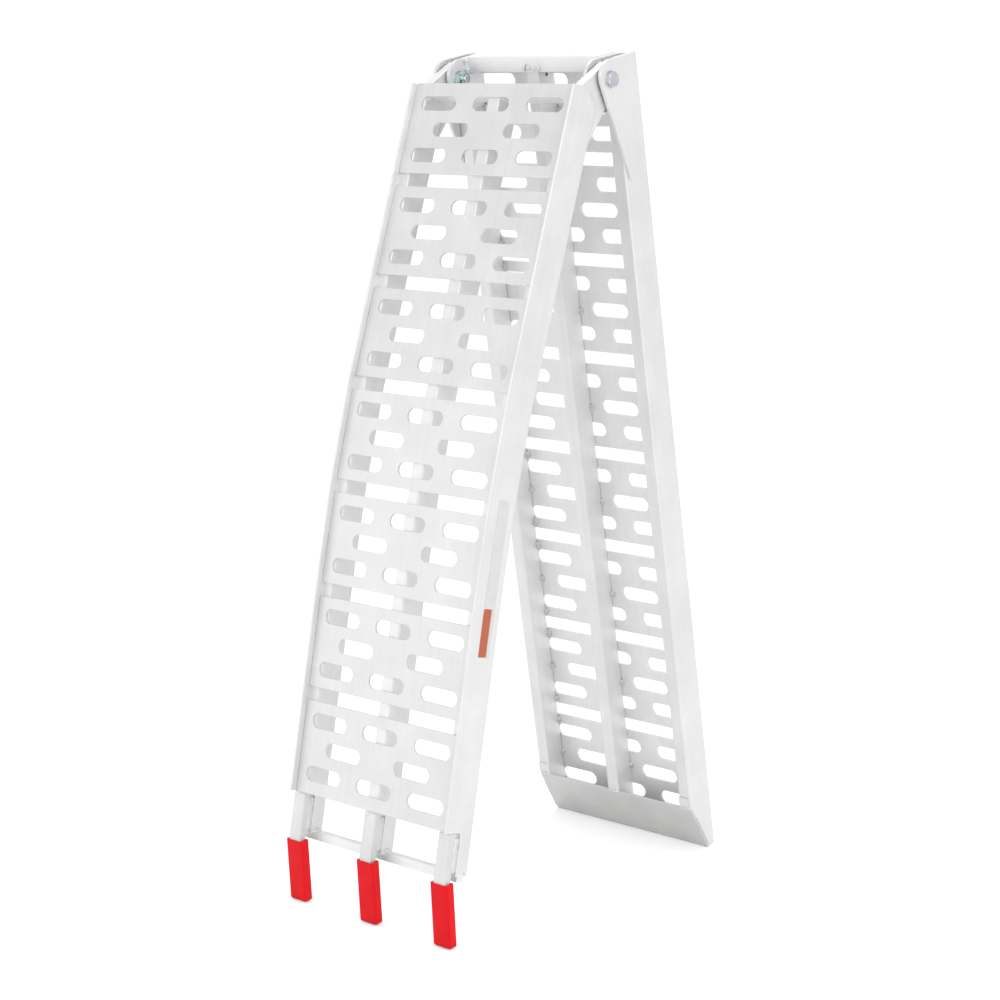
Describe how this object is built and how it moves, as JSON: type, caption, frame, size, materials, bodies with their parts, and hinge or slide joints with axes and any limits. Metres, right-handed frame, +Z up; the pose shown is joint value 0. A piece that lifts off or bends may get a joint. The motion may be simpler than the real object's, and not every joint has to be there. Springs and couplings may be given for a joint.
{
  "type": "folding loading ramp",
  "caption": "Arched folding loading ramp: slotted aluminium deck plates on welded box rails, hinged in the middle, with booted fingers at one end and a bent foot plate at the other.",
  "frame": {"origin": "on the ground in the middle of the footprint of the folded ramp standing on its foot plate's edge and its finger boots", "axes": "+X along the hinge axis, +Z up, the upper section with the fingers on the -Y side and the lower section with the foot plate on the +Y side"},
  "size_m": [0.3092, 0.5924, 1.1457],
  "materials": {
    "deck_aluminium": "satin, light milled",
    "frame_aluminium": "satin, extruded, with ripple weld beads",
    "boot_vinyl": "soft glossy dipped vinyl",
    "zinc_hardware": "bright zinc plate",
    "spacer_nylon": "matt nylon",
    "label_white": "printed vinyl, plain",
    "label_orange": "printed vinyl, plain"
  },
  "bodies": {
    "lower_section": {"lower_rail_left": "frame_aluminium", "lower_rail_right": "frame_aluminium", "lower_centre_beam": "frame_aluminium", "lower_deck_plate_1": "deck_aluminium", "lower_deck_plate_2": "deck_aluminium", "lower_deck_plate_3": "deck_aluminium", "lower_deck_plate_4": "deck_aluminium", "lower_deck_plate_5": "deck_aluminium", "lower_deck_plate_6": "deck_aluminium", "lower_deck_plate_7": "deck_aluminium", "lower_deck_plate_8": "deck_aluminium", "lower_hinge_crossbar": "frame_aluminium", "foot_plate": "frame_aluminium", "hinge_plate_outer_left": "frame_aluminium", "hinge_plate_inner_left": "frame_aluminium", "hinge_plate_inner_right": "frame_aluminium", "hinge_plate_outer_right": "frame_aluminium", "hinge_bolt_left": "zinc_hardware", "hinge_bolt_right": "zinc_hardware", "hinge_lock_nut_left": "zinc_hardware", "hinge_lock_nut_right": "zinc_hardware", "hinge_washers": "zinc_hardware", "hinge_spacers": "spacer_nylon"},
    "upper_section": {"upper_rail_left": "frame_aluminium", "upper_rail_right": "frame_aluminium", "upper_centre_beam": "frame_aluminium", "upper_deck_plate_1": "deck_aluminium", "upper_deck_plate_2": "deck_aluminium", "upper_deck_plate_3": "deck_aluminium", "upper_deck_plate_4": "deck_aluminium", "upper_deck_plate_5": "deck_aluminium", "upper_deck_plate_6": "deck_aluminium", "upper_deck_plate_7": "deck_aluminium", "upper_hinge_crossbar": "frame_aluminium", "finger_crossbar": "frame_aluminium", "finger_left": "frame_aluminium", "finger_centre": "frame_aluminium", "finger_right": "frame_aluminium", "finger_boot_left": "boot_vinyl", "finger_boot_centre": "boot_vinyl", "finger_boot_right": "boot_vinyl", "hinge_ear_left": "frame_aluminium", "hinge_ear_right": "frame_aluminium", "rail_label_white": "label_white", "rail_label_orange": "label_orange"}
  },
  "joints": [
    {"name": "fold", "type": "hinge", "parent": "lower_section", "child": "upper_section", "pos_m": [0, 0.01308, 1.10808], "axis": [-1, 0, 0], "range_deg": [-25.5, 146.4]}
  ]
}
